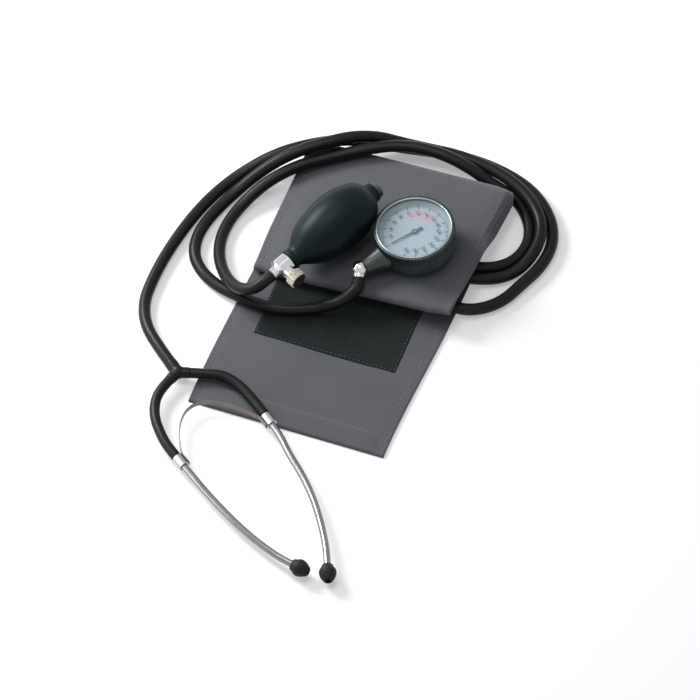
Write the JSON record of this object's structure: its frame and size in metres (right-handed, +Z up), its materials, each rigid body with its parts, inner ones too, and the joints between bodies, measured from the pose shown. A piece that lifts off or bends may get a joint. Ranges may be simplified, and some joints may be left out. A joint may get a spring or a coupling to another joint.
{
  "type": "aneroid sphygmomanometer",
  "caption": "Folded fabric blood pressure cuff with squeeze bulb, release valve, dial gauge, air hoses and a stethoscope laid round it.",
  "frame": {"origin": "middle of the cuff's underside, on the table", "axes": "+X across the cuff towards its right edge, +Y towards the cuff's rear fold, +Z up"},
  "size_m": [0.2557, 0.3771, 0.0606],
  "materials": {
    "cuff_cloth": "woven",
    "bladder_rubber": "matt",
    "fastener_tape": "napped",
    "black_rubber": "satin",
    "hose_rubber": "satin",
    "ear_tip_rubber": "matt",
    "plated_brass": "chrome plated",
    "steel": "polished",
    "chrome_tube": "polished",
    "diaphragm_plastic": "satin",
    "gauge_black": "painted",
    "bezel_metal": "satin",
    "clear_crystal": "clear",
    "dial_enamel": "enamel",
    "pointer_black": "painted",
    "movement_brass": "polished",
    "capsule_metal": "satin"
  },
  "bodies": {
    "base": {"bezel": "bezel_metal", "bladder": "bladder_rubber", "bulb": "black_rubber", "bulb_hose": "hose_rubber", "bulb_port": "black_rubber", "capsule": "capsule_metal", "check_valve_cap": "plated_brass", "chest_diaphragm": "diaphragm_plastic", "chest_piece": "chrome_tube", "chest_ring": "chrome_tube", "crystal": "clear_crystal", "cuff_hem": "cuff_cloth", "cuff_inner_panel": "cuff_cloth", "cuff_outer_panel": "cuff_cloth", "dial": "dial_enamel", "dial_screws": "steel", "gauge_case": "gauge_black", "gauge_hose": "hose_rubber", "gauge_port": "black_rubber", "hairspring": "capsule_metal", "headset_spring": "steel", "hook_patch": "fastener_tape", "hose_elbow": "plated_brass", "inlet_valve_housing": "plated_brass", "inlet_valve_retainer": "plated_brass", "left_branch": "hose_rubber", "loop_patch": "fastener_tape", "movement_bridge": "movement_brass", "movement_pillars": "movement_brass", "movement_plate": "movement_brass", "plate_screws": "steel", "right_branch": "hose_rubber", "stethoscope_tube": "hose_rubber", "tubing_fork": "hose_rubber", "valve_body": "plated_brass"},
    "screw": {"release_screw": "plated_brass"},
    "sector": {"sector_gear": "movement_brass"},
    "pinion": {"pinion_arbor": "movement_brass", "pointer": "pointer_black", "hairspring_collet": "movement_brass"},
    "rocker": {"rocker_shaft": "movement_brass"},
    "push_pin": {"capsule_pin": "movement_brass"},
    "check_disc": {"check_valve_disc": "black_rubber"},
    "inlet_ball": {"inlet_valve_ball": "steel"},
    "left_ear": {"ear_tube_left": "chrome_tube", "ear_tip_left": "ear_tip_rubber", "spring_clamp_left": "steel"},
    "right_ear": {"ear_tube_right": "chrome_tube", "ear_tip_right": "ear_tip_rubber", "spring_clamp_right": "steel"}
  },
  "joints": [
    {"name": "release_screw_turn", "type": "hinge", "parent": "base", "child": "screw", "pos_m": [-0.04645, -0.00856, 0.03339], "axis": [0.8846, -0.4664, 0], "range_deg": [0, 720]},
    {"name": "sector_swing", "type": "hinge", "parent": "base", "child": "sector", "pos_m": [0.03741, 0.03535, 0.02044], "axis": [-0.0864, 0, 0.9963], "range_deg": [0, 40]},
    {"name": "pointer_turn", "type": "hinge", "parent": "base", "child": "pinion", "pos_m": [0.0322, 0.0448, 0.01999], "axis": [-0.0864, 0, 0.9963], "range_deg": [-320, 0]},
    {"name": "rocker_tilt", "type": "hinge", "parent": "base", "child": "rocker", "pos_m": [0.02966, 0.04296, 0.03142], "axis": [0.7644, -0.6414, 0.0663], "range_deg": [0, 48]},
    {"name": "capsule_rise", "type": "slide", "parent": "base", "child": "push_pin", "axis": [-0.0864, 0, 0.9963], "range_m": [0, 0.0014]},
    {"name": "check_valve_lift", "type": "slide", "parent": "base", "child": "check_disc", "axis": [-0.464, -0.8801, -0.1011], "range_m": [0, 0.0008]},
    {"name": "inlet_ball_lift", "type": "slide", "parent": "base", "child": "inlet_ball", "axis": [-0.464, -0.8801, -0.1011], "range_m": [0, 0.001]},
    {"name": "left_ear_open", "type": "hinge", "parent": "base", "child": "left_ear", "pos_m": [-0.076, -0.134, 0.0078], "axis": [0, 0, 1], "range_deg": [-20, 0], "stiffness_Nm_per_rad": 0.3, "deforming": ["left_branch", "headset_spring"]},
    {"name": "right_ear_open", "type": "hinge", "parent": "base", "child": "right_ear", "pos_m": [-0.045, -0.112, 0.0078], "axis": [0, 0, 1], "range_deg": [0, 20], "stiffness_Nm_per_rad": 0.3, "deforming": ["right_branch", "headset_spring"]}
  ],
  "couplings": [
    {"joint": "pointer_turn", "follows": "sector_swing", "ratio": -8},
    {"joint": "rocker_tilt", "follows": "sector_swing", "ratio": 1.2},
    {"joint": "capsule_rise", "follows": "sector_swing", "m_per_rad": 0.0020054}
  ]
}
